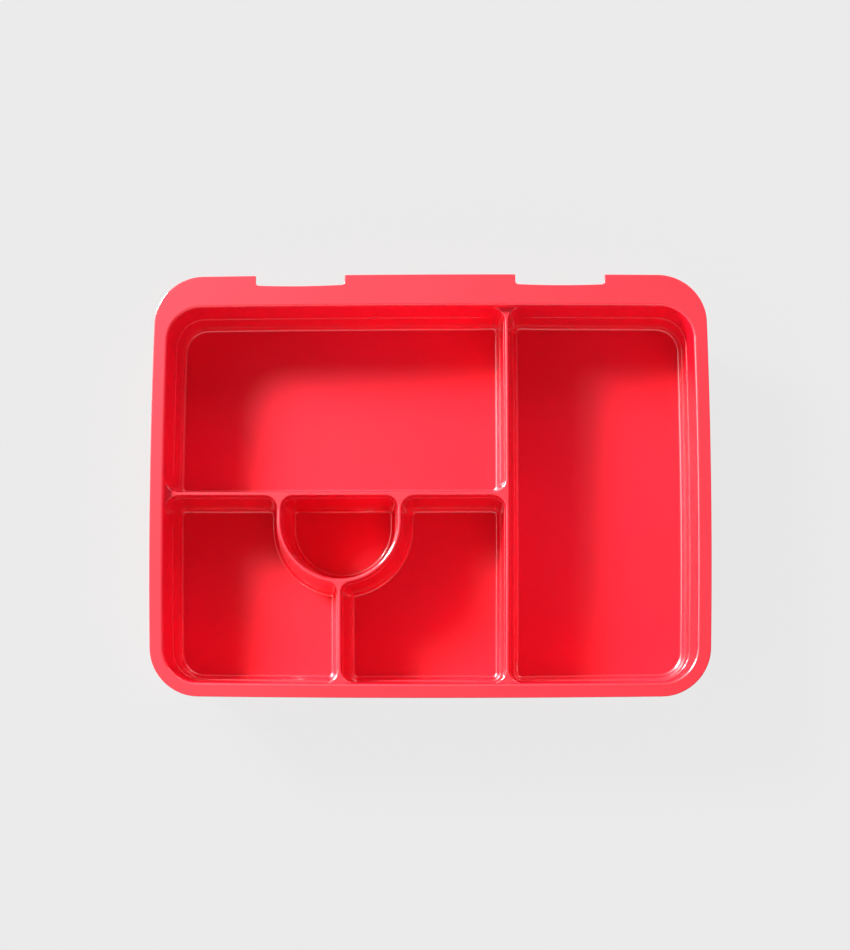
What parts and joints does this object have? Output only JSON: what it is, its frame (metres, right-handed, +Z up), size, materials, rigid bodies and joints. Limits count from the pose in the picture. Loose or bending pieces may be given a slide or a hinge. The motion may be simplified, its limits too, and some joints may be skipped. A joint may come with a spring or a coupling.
{
  "type": "lunch box tray",
  "caption": "Divided inner tray of a bento lunch box: a flat notched rim round a shallow basin with rounded, drafted compartments and a half-round sauce cup.",
  "frame": {"origin": "centre of the bounding box at the underside, the face that the tray stands on", "axes": "+X to the right along the long side, +Y to the back, the side with the notches, +Z up out of the compartments"},
  "size_m": [0.2, 0.152, 0.03],
  "materials": {
    "tray": "glossy moulded red plastic"
  },
  "bodies": {
    "root": {"tray": "tray"}
  },
  "joints": []
}
